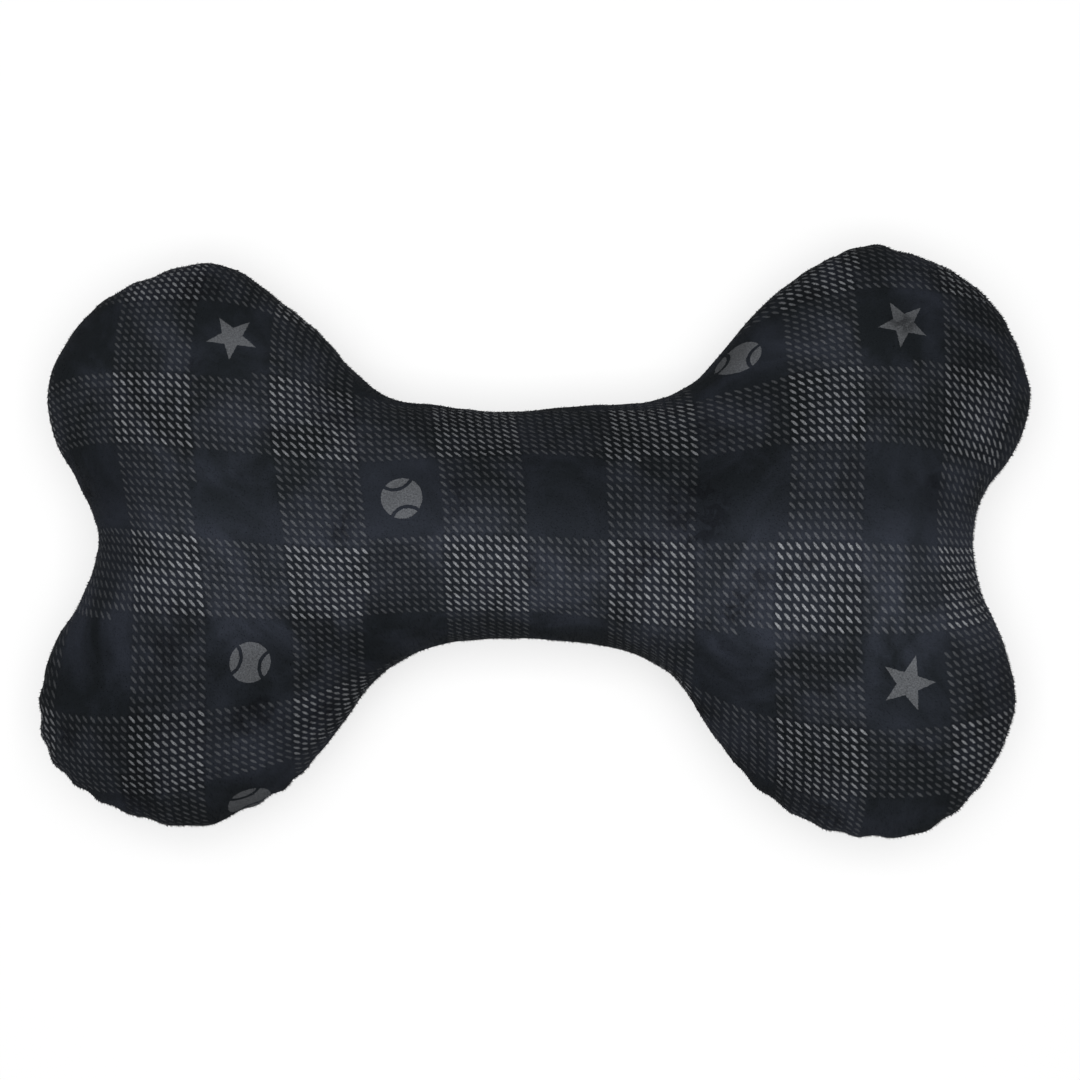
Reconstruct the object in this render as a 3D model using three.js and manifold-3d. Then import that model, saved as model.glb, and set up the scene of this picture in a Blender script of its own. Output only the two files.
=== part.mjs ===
// A plush bone toy for dogs: two plush panels sewn together along the outline of a bone,
// filled with wads of fibre that hold an accordion squeaker in the middle of the shaft.
// Millimetres, +Z up. The toy lies on its back with its long axis along X and rests on z = 0.

import * as THREE from "three";
import { mergeVertices } from "three/addons/utils/BufferGeometryUtils.js";
import Module from "manifold-3d";

const wasm = await Module();
wasm.setup();

// Driving dimensions: the whole toy
const TOY_LENGTH = 305;
const TOY_WIDTH = 183;
const TOY_THICKNESS = 88;
const REST_FLAT_DEPTH = 0.5;

// Driving dimensions: cloth, seam and thread
const PLUSH_THICKNESS = 2.2;
const SEAM_ALLOWANCE = 6;
const SEAM_ROLL_RADIUS = 2.5;
const THREAD_DIAMETER = 0.8;
const OPENING_LENGTH = 70;
const CLOSING_STITCH_PITCH = 5;
const CLOSING_STITCH_WIDTH = 1.6;

// Driving dimensions: the squeaker and its reed
const SQUEAKER_DIAMETER = 38;
const SQUEAKER_HEIGHT = 24;
const SQUEAKER_RIM_HEIGHT = 3;
const SQUEAKER_WALL = 1.2;
const SQUEAKER_EDGE_RADIUS = 1;
const BELLOWS_WALL = 0.9;
const BELLOWS_FOLD_DEPTH = 3.5;
const REED_HOLDER_DIAMETER = 11;
const REED_HOLDER_LENGTH = 9;
const REED_HOLDER_FLANGE = 1.5;
const REED_BORE_DIAMETER = 7;
const REED_LENGTH = 7;
const REED_THICKNESS = 0.5;

// Room between neighbours that touch on the real toy, how far a cut runs past what it cuts,
// and how near two points are one
const CLEARANCE = 0.3;
const OVERRUN = 5;
const WELD = 0.001;

// Counts
const SHAFT_RAYS = 16;
const END_RAYS = 28;
const SKIN_RINGS = 5;
const FINE_STEPS = 200;
const BELLOWS_FOLDS = 3;
const ROUND_SEGMENTS = 32;
const THREAD_SIDES = 6;
const SEAM_STEPS = 150;
const STEPS_PER_STITCH = 6;
const RELAX_ROUNDS = 400;

// The outline seen from above, anticlockwise: shares of half the length and half the width.
// Each run starts over an end centre, where the rays turn from upright to fanned.
const END_CENTRE_SHARE = 0.6;
const SPINE_SHARE = 0.04;
const TOP_RUN_SHARES = [
  [END_CENTRE_SHARE, 0.955], [0.55, 0.91], [0.465, 0.8], [0.39, 0.66], [0.325, 0.54],
  [0.245, 0.475], [0.09, 0.455], [-0.07, 0.435], [-0.21, 0.46], [-0.29, 0.48],
  [-0.37, 0.58], [-0.43, 0.695], [-0.515, 0.81],
];
const LEFT_RUN_SHARES = [
  [-END_CENTRE_SHARE, 0.91], [-0.67, 0.935], [-0.765, 0.895], [-0.865, 0.815],
  [-0.935, 0.69], [-0.98, 0.53], [-0.97, 0.35], [-0.92, 0.19], [-0.88, 0.01],
  [-0.915, -0.195], [-0.97, -0.35], [-1, -0.555], [-0.98, -0.725], [-0.905, -0.85],
  [-0.79, -0.935], [-0.68, -0.965],
];
const BOTTOM_RUN_SHARES = [
  [-END_CENTRE_SHARE, -0.92], [-0.495, -0.825], [-0.405, -0.655], [-0.315, -0.46],
  [-0.21, -0.36], [-0.07, -0.33], [0.07, -0.34], [0.19, -0.375], [0.285, -0.465],
  [0.36, -0.65], [0.46, -0.85],
];
const RIGHT_RUN_SHARES = [
  [END_CENTRE_SHARE, -0.98], [0.685, -1], [0.78, -0.985], [0.88, -0.865],
  [0.945, -0.69], [0.97, -0.535], [0.945, -0.335], [0.9, -0.16], [0.885, 0.015],
  [0.905, 0.15], [0.97, 0.305], [1, 0.47], [0.98, 0.625], [0.93, 0.785],
  [0.845, 0.905], [0.75, 0.97], [0.675, 1],
];
// The shaft's wads reach this share of the toy's width, and the lobes' wads start beyond it
const SHAFT_WAD_SHARE = 0.44;

// Places worked out from the driving dimensions
const seamHeight = (TOY_THICKNESS - REST_FLAT_DEPTH) / 2;
const crownRise = (TOY_THICKNESS + REST_FLAT_DEPTH) / 2;
const seamHalfGap = THREAD_DIAMETER / 2 + CLEARANCE;
const rollTop = seamHalfGap + SEAM_ROLL_RADIUS;
const allowanceEnd = SEAM_ROLL_RADIUS + SEAM_ALLOWANCE;
const threadInset = SEAM_ROLL_RADIUS + THREAD_DIAMETER;
const spineY = SPINE_SHARE * TOY_WIDTH / 2;
const endCentreX = END_CENTRE_SHARE * TOY_LENGTH / 2;

const plush = new THREE.MeshStandardMaterial({ color: "#1e2128", roughness: 0.95, metalness: 0 });
const thread = new THREE.MeshStandardMaterial({ color: "#14161a", roughness: 0.7, metalness: 0 });
const fibre = new THREE.MeshStandardMaterial({ color: "#eeece6", roughness: 1, metalness: 0 });
const softPlastic = new THREE.MeshStandardMaterial({ color: "#e4e1d6", roughness: 0.5, metalness: 0 });
const hardPlastic = new THREE.MeshStandardMaterial({ color: "#b9c4cc", roughness: 0.35, metalness: 0 });

const toy = new THREE.Group();

// Adds a named piece to a group and hands the mesh back
function addPiece(parent, name, geometry, material) {
  const mesh = new THREE.Mesh(geometry, material);
  mesh.name = name;
  parent.add(mesh);
  return mesh;
}

// Closed skin over rings of points, each ring joined to the next. The first and the last ring
// fold up on themselves into a point or a line. Points at one place become one vertex. Its faces
// look out where the rings run from above to below, and are turned round where they run upwards.
function skin(rings, upwards = false) {
  const count = rings[0].length;
  const vertices = [];
  const vertexOf = rings.map((ring) => ring.map((point) => {
    const known = vertices.findIndex((vertex) => vertex.distanceTo(point) < WELD);
    return known < 0 ? vertices.push(point) - 1 : known;
  }));
  const index = [];
  const addTriangle = (a, b, c) => {
    if (a !== b && b !== c && c !== a) index.push(a, b, c);
  };
  for (let ring = 0; ring + 1 < rings.length; ring++) {
    for (let ray = 0; ray < count; ray++) {
      const next = (ray + 1) % count;
      const [inner, outer] = [vertexOf[ring], vertexOf[ring + 1]];
      addTriangle(inner[ray], outer[ray], outer[next]);
      addTriangle(inner[ray], outer[next], inner[next]);
    }
  }
  if (upwards) index.reverse();
  const geometry = new THREE.BufferGeometry().setFromPoints(vertices).setIndex(index);
  return { geometry, vertexOf };
}

// A closed geometry as a solid for cutting, and a solid as a geometry
function solidFrom(source) {
  const bare = source.clone();
  bare.deleteAttribute("normal");
  bare.deleteAttribute("uv");
  const welded = mergeVertices(bare, WELD);
  return new wasm.Manifold(new wasm.Mesh({
    numProp: 3,
    vertProperties: new Float32Array(welded.attributes.position.array),
    triVerts: new Uint32Array(welded.index.array),
  }));
}
function geometryFrom(solid) {
  const mesh = solid.getMesh();
  const geometry = new THREE.BufferGeometry();
  geometry.setAttribute("position", new THREE.BufferAttribute(mesh.vertProperties, 3));
  geometry.setIndex(new THREE.BufferAttribute(mesh.triVerts, 1));
  return geometry;
}

// A box between two corners, as a solid
function block(low, high) {
  const size = new THREE.Vector3().subVectors(high, low);
  const centre = new THREE.Vector3().addVectors(low, high).multiplyScalar(0.5);
  const geometry = new THREE.BoxGeometry(size.x, size.y, size.z);
  return solidFrom(geometry.translate(centre.x, centre.y, centre.z));
}

// Rays of the bone: each runs from the spine, between the two end centres, to the outline.
// The four runs join into one smooth curve, on which every run's first point is known. The
// points taken from it are fitted to the toy's length and width, with the origin in the middle.
function bonePlan() {
  const runs = [TOP_RUN_SHARES, LEFT_RUN_SHARES, BOTTOM_RUN_SHARES, RIGHT_RUN_SHARES];
  const corners = runs.flat().map(([along, across]) =>
    new THREE.Vector3(along * TOY_LENGTH / 2, across * TOY_WIDTH / 2, 0));
  const curve = new THREE.CatmullRomCurve3(corners, true, "centripetal");
  let cornersPassed = 0;
  const rays = runs.flatMap((run, which) => {
    const upright = which % 2 === 0;
    const from = cornersPassed / corners.length;
    const to = (cornersPassed + run.length) / corners.length;
    cornersPassed += run.length;
    const fine = Array.from({ length: FINE_STEPS + 1 }, (_, i) =>
      curve.getPoint(from + (to - from) * i / FINE_STEPS));
    const edges = upright
      ? spread(fine, fine.map((point) => Math.abs(point.x - fine[0].x)), SHAFT_RAYS)
      : spread(fine, lengthsAlong(fine), END_RAYS);
    return edges.map((edge) => ({ edge, foot: footOf(edge) }));
  });
  const reach = new THREE.Box3().setFromPoints(rays.map((ray) => ray.edge));
  const middle = reach.getCenter(new THREE.Vector3());
  const size = reach.getSize(new THREE.Vector3());
  const fit = new THREE.Vector3(TOY_LENGTH / size.x, TOY_WIDTH / size.y, 1);
  rays.forEach((ray) => ray.edge.sub(middle).multiply(fit));
  rays.forEach((ray, i) => {
    const before = rays.at(i - 1).edge;
    const after = rays[(i + 1) % rays.length].edge;
    ray.outward = new THREE.Vector3(after.y - before.y, before.x - after.x, 0).normalize();
  });
  return rays;
}
function footOf(edge) {
  return new THREE.Vector3(THREE.MathUtils.clamp(edge.x, -endCentreX, endCentreX), spineY, 0);
}
function lengthsAlong(points) {
  let length = 0;
  return points.map((point, i) => (length += i ? point.distanceTo(points[i - 1]) : 0));
}
// Points spread evenly by a measure that grows along a run, without the run's last point
function spread(points, measure, count) {
  return Array.from({ length: count }, (_, i) => {
    const wanted = measure.at(-1) * i / count;
    const after = Math.max(1, measure.findIndex((value) => value >= wanted));
    const share = (wanted - measure[after - 1]) / (measure[after] - measure[after - 1]);
    return new THREE.Vector3().lerpVectors(points[after - 1], points[after], share);
  });
}

// How high cloth stands when it is blown up inside the outline. The pressure bends it alike
// everywhere, so half the square of the height solves a membrane's equation: a round section
// comes out along the shaft, and the ends swell with their width. Gives shares of the highest.
function blownUpShares(rays, ringShares) {
  const rings = ringShares.map((share) =>
    rays.map(({ edge, foot }) => new THREE.Vector3().lerpVectors(foot, edge, share)));
  const { geometry, vertexOf } = skin(rings);
  const place = geometry.attributes.position;
  const point = (vertex) => new THREE.Vector3().fromBufferAttribute(place, vertex);
  const load = new Array(place.count).fill(0);
  const pulls = Array.from({ length: place.count }, () => new Map());
  const index = geometry.index.array;
  for (let i = 0; i < index.length; i += 3) {
    const corners = [index[i], index[i + 1], index[i + 2]];
    corners.forEach((corner, turn) => {
      const [a, b] = [corners[(turn + 1) % 3], corners[(turn + 2) % 3]];
      const toA = point(a).sub(point(corner));
      const toB = point(b).sub(point(corner));
      const doubleArea = Math.abs(toA.x * toB.y - toA.y * toB.x);
      const pull = toA.dot(toB) / doubleArea / 2;
      pulls[a].set(b, (pulls[a].get(b) ?? 0) + pull);
      pulls[b].set(a, (pulls[b].get(a) ?? 0) + pull);
      load[corner] += doubleArea / 6;
    });
  }
  // Each round steps past the balance with its neighbours, which settles that many rings soonest
  const pinned = new Set(vertexOf.at(-1));
  const overstep = 2 / (1 + Math.sin(Math.PI / (2 * SKIN_RINGS)));
  const level = new Array(place.count).fill(0);
  for (let round = 0; round < RELAX_ROUNDS; round++) {
    for (let vertex = 0; vertex < level.length; vertex++) {
      if (pinned.has(vertex)) continue;
      let sum = load[vertex];
      let weight = 0;
      for (const [other, pull] of pulls[vertex]) {
        sum += pull * level[other];
        weight += pull;
      }
      level[vertex] += overstep * (sum / weight - level[vertex]);
    }
  }
  const highest = Math.max(...level);
  return vertexOf.map((ring) => ring.map((vertex) => Math.sqrt(level[vertex] / highest)));
}

// The toy's outer skin: points by ring and ray, from the spine out to the outline, with the
// direction that faces out at each. The front's heights count up from the seam. Both ends are
// stuffed to the same thickness, so that the toy lies level.
const rays = bonePlan();
const ringShares = Array.from({ length: SKIN_RINGS + 1 }, (_, ring) =>
  Math.sin(Math.PI / 2 * ring / SKIN_RINGS));
const domeRise = Math.sqrt(crownRise ** 2 - rollTop ** 2);
const blownShares = blownUpShares(rays, ringShares);
const [leftCrownShare, rightCrownShare] = [-1, 1].map((side) =>
  Math.max(...blownShares.flatMap((ring) => ring.filter((_, i) => side * rays[i].foot.x > 0))));
const frontSkin = blownShares.map((ring, k) =>
  ring.map((share, i) => {
    const point = new THREE.Vector3().lerpVectors(rays[i].foot, rays[i].edge, ringShares[k]);
    const along = THREE.MathUtils.smoothstep(point.x, -endCentreX, endCentreX);
    const evened = share / THREE.MathUtils.lerp(leftCrownShare, rightCrownShare, along);
    return point.setZ(Math.hypot(evened * domeRise, rollTop));
  }));
const faceOut = facingOut(frontSkin);

function mirrored(point) {
  return new THREE.Vector3(point.x, point.y, -point.z);
}
function facingOut(front) {
  const back = front.map((ring) => ring.map(mirrored)).reverse();
  const { geometry, vertexOf } = skin([...front, ...back]);
  geometry.computeVertexNormals();
  const normals = geometry.attributes.normal;
  return front.map((_, ring) => vertexOf[ring].map((vertex) =>
    new THREE.Vector3().fromBufferAttribute(normals, vertex)));
}
// A ring of the front skin, moved in by a depth square to the skin
function sunkRing(ring, depth) {
  return frontSkin[ring].map((point, i) =>
    point.clone().addScaledVector(faceOut[ring][i], -depth));
}
// A ring that follows the outline at an inset, at a height above the seam
function edgeRing(inset, height) {
  return rays.map(({ edge, outward }) =>
    edge.clone().addScaledVector(outward, -inset).setZ(height));
}

// Plush panels: the pile side bulges out, rolls in at the seam and ends in the seam allowance.
// The side against the stuffing needs one ring fewer near the spine.
const panelCorner = SEAM_ROLL_RADIUS + PLUSH_THICKNESS / 2;
const rollInset = SEAM_ROLL_RADIUS * (1 - Math.cos(Math.PI / 4));
const rollHeight = rollTop - SEAM_ROLL_RADIUS * Math.sin(Math.PI / 4);
const innerRings = [...frontSkin.keys()].slice(0, -1).filter((ring) => ring !== 1).reverse();
const frontRings = [
  ...frontSkin,
  edgeRing(rollInset, rollHeight),
  edgeRing(SEAM_ROLL_RADIUS, seamHalfGap),
  edgeRing(allowanceEnd, seamHalfGap),
  edgeRing(allowanceEnd, seamHalfGap + PLUSH_THICKNESS),
  edgeRing(panelCorner, seamHalfGap + PLUSH_THICKNESS),
  ...innerRings.map((ring) => sunkRing(ring, PLUSH_THICKNESS)),
];
const frontPanel = skin(frontRings).geometry;
addPiece(toy, "front_panel", frontPanel, plush).position.z = seamHeight;

const backPanel = skin(frontRings.map((ring) => ring.map(mirrored)).reverse()).geometry;
const floorBlock = block(
  new THREE.Vector3(-TOY_LENGTH, -TOY_WIDTH, -seamHeight - REST_FLAT_DEPTH - OVERRUN),
  new THREE.Vector3(TOY_LENGTH, TOY_WIDTH, -seamHeight),
);
const restedPanel = geometryFrom(solidFrom(backPanel).subtract(floorBlock));
addPiece(toy, "back_panel", restedPanel, plush).position.z = seamHeight;

// Threads: both lie between the two seam allowances. The machine seam runs round from one side
// of the stuffing hole to the other, and hand stitches zigzag across the hole.
const threadSection = new THREE.Shape(Array.from({ length: THREAD_SIDES }, (_, i) => {
  const turn = 2 * Math.PI * i / THREAD_SIDES;
  return new THREE.Vector2(Math.cos(turn), Math.sin(turn)).multiplyScalar(THREAD_DIAMETER / 2);
}));
function threadAlong(points, steps) {
  const extrudePath = new THREE.CatmullRomCurve3(points, false, "centripetal");
  return new THREE.ExtrudeGeometry(threadSection, { steps, extrudePath, bevelEnabled: false });
}
function lowerEdgeAt(x, inset) {
  const lowerRun = edgeRing(inset, 0).slice(SHAFT_RAYS + END_RAYS, 2 * SHAFT_RAYS + END_RAYS + 1);
  const after = lowerRun.findIndex((point) => point.x >= x);
  const [before, beyond] = [lowerRun[after - 1], lowerRun[after]];
  const share = (x - before.x) / (beyond.x - before.x);
  return new THREE.Vector3().lerpVectors(before, beyond, share);
}
const holeHalf = OPENING_LENGTH / 2;
const seamRun = edgeRing(threadInset, 0);
const lowerFirst = SHAFT_RAYS + END_RAYS;
const beyondHole = seamRun.findIndex((point, i) =>
  i > lowerFirst && point.x > holeHalf + THREAD_DIAMETER);
const beforeHole = seamRun.findLastIndex((point, i) =>
  i < beyondHole && point.x < -holeHalf - THREAD_DIAMETER);
const seamPoints = [
  lowerEdgeAt(holeHalf, threadInset),
  ...seamRun.slice(beyondHole),
  ...seamRun.slice(0, beforeHole + 1),
  lowerEdgeAt(-holeHalf, threadInset),
];
addPiece(toy, "seam_thread", threadAlong(seamPoints, SEAM_STEPS), thread).position.z = seamHeight;

const stitchReach = holeHalf - THREAD_DIAMETER - CLEARANCE;
const stitches = Math.max(1, Math.round(2 * stitchReach / CLOSING_STITCH_PITCH));
const stitchPoints = Array.from({ length: 2 * stitches + 1 }, (_, i) =>
  lowerEdgeAt(
    -stitchReach + stitchReach * i / stitches,
    threadInset + (i % 2 ? 0.5 : -0.5) * CLOSING_STITCH_WIDTH,
  ));
const closing = threadAlong(stitchPoints, stitches * STEPS_PER_STITCH);
addPiece(toy, "closing_thread", closing, thread).position.z = seamHeight;

// Stuffing: one body of fibre that fills the cloth, with a channel round the seam allowances,
// parted into a wad for each lobe and two wads along the shaft with the squeaker between them
const fillDepth = PLUSH_THICKNESS + CLEARANCE;
const channelTop = seamHalfGap + PLUSH_THICKNESS + CLEARANCE;
const frontFill = [
  edgeRing(allowanceEnd + CLEARANCE, channelTop),
  edgeRing(panelCorner + CLEARANCE, channelTop),
  ...innerRings.map((ring) => sunkRing(ring, fillDepth)),
];
const backFill = frontFill.map((ring) => ring.map(mirrored)).reverse();
const fill = solidFrom(skin([...backFill, ...frontFill], true).geometry);

const shaftHalf = SHAFT_WAD_SHARE * TOY_WIDTH / 2;
const halfSlit = CLEARANCE / 2;
const farX = TOY_LENGTH / 2 + OVERRUN;
const farY = TOY_WIDTH / 2 + OVERRUN;
const farZ = crownRise + OVERRUN;
const pocketGeometry = new THREE.CylinderGeometry(
  SQUEAKER_DIAMETER / 2 + CLEARANCE,
  SQUEAKER_DIAMETER / 2 + CLEARANCE,
  SQUEAKER_HEIGHT + 2 * CLEARANCE,
  ROUND_SEGMENTS,
);
const pocket = solidFrom(pocketGeometry.rotateX(Math.PI / 2).translate(0, spineY, 0));

for (const [side, up] of [["front", 1], ["back", -1]]) {
  const shaftRoom = block(
    new THREE.Vector3(-farX, spineY - shaftHalf, Math.min(up * halfSlit, up * farZ)),
    new THREE.Vector3(farX, spineY + shaftHalf, Math.max(up * halfSlit, up * farZ)),
  );
  const wad = fill.intersect(shaftRoom).subtract(pocket);
  addPiece(toy, "stuffing_shaft_" + side, geometryFrom(wad), fibre).position.z = seamHeight;
}
for (const [level, up] of [["upper", 1], ["lower", -1]]) {
  for (const [side, right] of [["left", -1], ["right", 1]]) {
    const nearY = spineY + up * (shaftHalf + CLEARANCE);
    const lobeRoom = block(
      new THREE.Vector3(Math.min(right * halfSlit, right * farX), Math.min(nearY, up * farY), -farZ),
      new THREE.Vector3(Math.max(right * halfSlit, right * farX), Math.max(nearY, up * farY), farZ),
    );
    const wad = geometryFrom(fill.intersect(lobeRoom));
    addPiece(toy, `stuffing_lobe_${level}_${side}`, wad, fibre).position.z = seamHeight;
  }
}

// Squeaker: it stands on its base in the pocket between the shaft's wads. Heights count from
// the base's underside.
const squeaker = new THREE.Group();
squeaker.position.set(0, spineY, seamHeight - SQUEAKER_HEIGHT / 2);
toy.add(squeaker);

// A round piece turned about Z from a profile of radii and heights
function turned(profile) {
  const points = profile.map(([radius, height]) => new THREE.Vector2(radius, height));
  const geometry = new THREE.LatheGeometry(points, ROUND_SEGMENTS);
  return geometryFrom(solidFrom(geometry.rotateX(Math.PI / 2)));
}
const squeakerRadius = SQUEAKER_DIAMETER / 2;
const squeakerBore = squeakerRadius - SQUEAKER_WALL;
const holderHole = REED_HOLDER_DIAMETER / 2 + CLEARANCE;
const baseProfile = [
  [holderHole, 0],
  [squeakerRadius - SQUEAKER_EDGE_RADIUS, 0],
  [squeakerRadius, SQUEAKER_EDGE_RADIUS],
  [squeakerRadius, SQUEAKER_RIM_HEIGHT],
  [squeakerBore, SQUEAKER_RIM_HEIGHT],
  [squeakerBore, SQUEAKER_WALL],
  [holderHole, SQUEAKER_WALL],
  [holderHole, 0],
];
addPiece(squeaker, "squeaker_base", turned(baseProfile), softPlastic);

const topProfile = [
  [0, -SQUEAKER_WALL],
  [squeakerBore, -SQUEAKER_WALL],
  [squeakerBore, -SQUEAKER_RIM_HEIGHT],
  [squeakerRadius, -SQUEAKER_RIM_HEIGHT],
  [squeakerRadius, -SQUEAKER_EDGE_RADIUS],
  [squeakerRadius - SQUEAKER_EDGE_RADIUS, 0],
  [0, 0],
];
addPiece(squeaker, "squeaker_top", turned(topProfile), softPlastic).position.z = SQUEAKER_HEIGHT;

// Bellows: a cuff inside each rim and pleats between them
const bellowsRadius = squeakerBore - CLEARANCE;
const bellowsFoot = SQUEAKER_WALL + CLEARANCE;
const bellowsHead = SQUEAKER_HEIGHT - bellowsFoot;
const pleatFoot = SQUEAKER_RIM_HEIGHT;
const pleatRise = (SQUEAKER_HEIGHT - 2 * SQUEAKER_RIM_HEIGHT) / (2 * BELLOWS_FOLDS);
const outerPleats = Array.from({ length: 2 * BELLOWS_FOLDS + 1 }, (_, i) =>
  [bellowsRadius - (i % 2) * BELLOWS_FOLD_DEPTH, pleatFoot + i * pleatRise]);
const outerProfile = [[bellowsRadius, bellowsFoot], ...outerPleats, [bellowsRadius, bellowsHead]];
const innerProfile = outerProfile.map(([radius, height]) => [radius - BELLOWS_WALL, height]);
const bellowsProfile = [...outerProfile, ...innerProfile.toReversed(), outerProfile[0]];
addPiece(squeaker, "squeaker_bellows", turned(bellowsProfile), softPlastic);

// Reed holder: pushed up through the base until its flange seats on the base's floor
const holderRadius = REED_HOLDER_DIAMETER / 2;
const boreRadius = REED_BORE_DIAMETER / 2;
const flangeFoot = SQUEAKER_WALL + CLEARANCE;
const holderProfile = [
  [boreRadius, 0],
  [holderRadius, 0],
  [holderRadius, flangeFoot],
  [holderRadius + REED_HOLDER_FLANGE, flangeFoot],
  [holderRadius + REED_HOLDER_FLANGE, flangeFoot + REED_HOLDER_FLANGE],
  [holderRadius, flangeFoot + REED_HOLDER_FLANGE],
  [holderRadius, REED_HOLDER_LENGTH],
  [boreRadius, REED_HOLDER_LENGTH],
  [boreRadius, 0],
];
addPiece(squeaker, "squeaker_reed_holder", turned(holderProfile), hardPlastic);

// Reed: a thin blade across the holder's bore, held at its two edges
const reedWidth = 2 * Math.sqrt(boreRadius ** 2 - (REED_THICKNESS / 2) ** 2) - 2 * CLEARANCE;
const reed = new THREE.BoxGeometry(reedWidth, REED_THICKNESS, REED_LENGTH);
addPiece(squeaker, "squeaker_reed", reed, hardPlastic).position.z = REED_HOLDER_LENGTH / 2;

export default toy;
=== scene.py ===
# A plush bone toy for dogs, lying on its back panel: printed plush sewn along the outline of a
# bone, stuffed with fibre round an accordion squeaker. Metres, +Z up, the long axis along X.

import math

import bpy
import numpy as np
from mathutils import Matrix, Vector, noise
from mathutils.bvhtree import BVHTree
from mathutils.kdtree import KDTree


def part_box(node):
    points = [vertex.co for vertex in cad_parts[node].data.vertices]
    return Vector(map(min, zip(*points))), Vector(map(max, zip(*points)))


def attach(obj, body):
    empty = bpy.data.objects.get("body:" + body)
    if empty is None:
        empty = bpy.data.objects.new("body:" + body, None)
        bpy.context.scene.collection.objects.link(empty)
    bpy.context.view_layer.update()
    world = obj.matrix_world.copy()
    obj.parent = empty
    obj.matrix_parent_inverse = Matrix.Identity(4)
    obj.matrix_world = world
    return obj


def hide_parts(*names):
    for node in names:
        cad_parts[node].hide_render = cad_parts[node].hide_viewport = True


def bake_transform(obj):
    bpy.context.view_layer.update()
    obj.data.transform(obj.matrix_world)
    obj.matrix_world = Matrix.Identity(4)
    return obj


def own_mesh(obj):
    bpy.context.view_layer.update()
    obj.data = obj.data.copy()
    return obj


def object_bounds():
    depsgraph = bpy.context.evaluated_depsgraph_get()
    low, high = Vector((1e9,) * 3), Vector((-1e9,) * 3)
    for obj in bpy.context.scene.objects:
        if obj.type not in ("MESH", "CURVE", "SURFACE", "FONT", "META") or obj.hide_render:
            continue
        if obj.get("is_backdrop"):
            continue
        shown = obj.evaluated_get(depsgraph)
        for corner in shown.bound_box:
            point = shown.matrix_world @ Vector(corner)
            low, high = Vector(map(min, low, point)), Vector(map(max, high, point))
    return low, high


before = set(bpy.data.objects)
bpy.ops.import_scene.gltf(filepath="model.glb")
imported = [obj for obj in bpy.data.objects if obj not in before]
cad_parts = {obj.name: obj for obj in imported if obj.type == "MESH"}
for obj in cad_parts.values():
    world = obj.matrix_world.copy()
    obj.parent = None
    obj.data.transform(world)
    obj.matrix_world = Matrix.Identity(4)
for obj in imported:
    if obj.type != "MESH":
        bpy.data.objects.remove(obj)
cad_low, cad_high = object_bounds()
scene = bpy.context.scene
MM = 0.001


# Outline of the bone: both panels are cut to it, sewn along it with their right sides together
# and turned out, so that it is where the cloth rolls in to the seam. Its points are shares of
# half the length and half the width, anticlockwise, and each run starts over an end's centre.
END_CENTRE_SHARE = 0.6
SPINE_SHARE = 0.04
TOP_RUN_SHARES = [
    (END_CENTRE_SHARE, 0.955), (0.55, 0.91), (0.465, 0.8), (0.39, 0.66), (0.325, 0.54),
    (0.245, 0.475), (0.09, 0.455), (-0.07, 0.435), (-0.21, 0.46), (-0.29, 0.48),
    (-0.37, 0.58), (-0.43, 0.695), (-0.515, 0.81),
]
LEFT_RUN_SHARES = [
    (-END_CENTRE_SHARE, 0.91), (-0.67, 0.935), (-0.765, 0.895), (-0.865, 0.815),
    (-0.935, 0.69), (-0.98, 0.53), (-0.97, 0.35), (-0.92, 0.19), (-0.88, 0.01),
    (-0.915, -0.195), (-0.97, -0.35), (-1, -0.555), (-0.98, -0.725), (-0.905, -0.85),
    (-0.79, -0.935), (-0.68, -0.965),
]
BOTTOM_RUN_SHARES = [
    (-END_CENTRE_SHARE, -0.92), (-0.495, -0.825), (-0.405, -0.655), (-0.315, -0.46),
    (-0.21, -0.36), (-0.07, -0.33), (0.07, -0.34), (0.19, -0.375), (0.285, -0.465),
    (0.36, -0.65), (0.46, -0.85),
]
RIGHT_RUN_SHARES = [
    (END_CENTRE_SHARE, -0.98), (0.685, -1), (0.78, -0.985), (0.88, -0.865),
    (0.945, -0.69), (0.97, -0.535), (0.945, -0.335), (0.9, -0.16), (0.885, 0.015),
    (0.905, 0.15), (0.97, 0.305), (1, 0.47), (0.98, 0.625), (0.93, 0.785),
    (0.845, 0.905), (0.75, 0.97), (0.675, 1),
]
SHAFT_RAYS = 32
END_RAYS = 56
SKIN_RINGS = 20
FINER = 4
CURVE_STEPS = 60

low, high = np.array(cad_low)[:2], np.array(cad_high)[:2]
half_size, middle = (high - low) / 2, (high + low) / 2
end_centre_x = END_CENTRE_SHARE * half_size[0]
spine_y = SPINE_SHARE * half_size[1]


def smooth_curve(corners, steps):
    """A closed smooth curve through corners, with the same number of points from each to the next."""
    before, here, there, beyond = (np.roll(corners, -shift, axis=0)[:, None] for shift in (-1, 0, 1, 2))
    gap_in = np.sqrt(np.linalg.norm(here - before, axis=2, keepdims=True))
    gap = np.sqrt(np.linalg.norm(there - here, axis=2, keepdims=True))
    gap_out = np.sqrt(np.linalg.norm(beyond - there, axis=2, keepdims=True))
    leave = gap * ((here - before) / gap_in - (there - before) / (gap_in + gap)) + there - here
    arrive = gap * ((beyond - there) / gap_out - (beyond - here) / (gap + gap_out)) + there - here
    t = (np.arange(steps) / steps)[:, None]
    points = (
        here * (2 * t**3 - 3 * t**2 + 1) + leave * (t**3 - 2 * t**2 + t)
        + there * (3 * t**2 - 2 * t**3) + arrive * (t**3 - t**2))
    return points.reshape(-1, 2)


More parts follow.
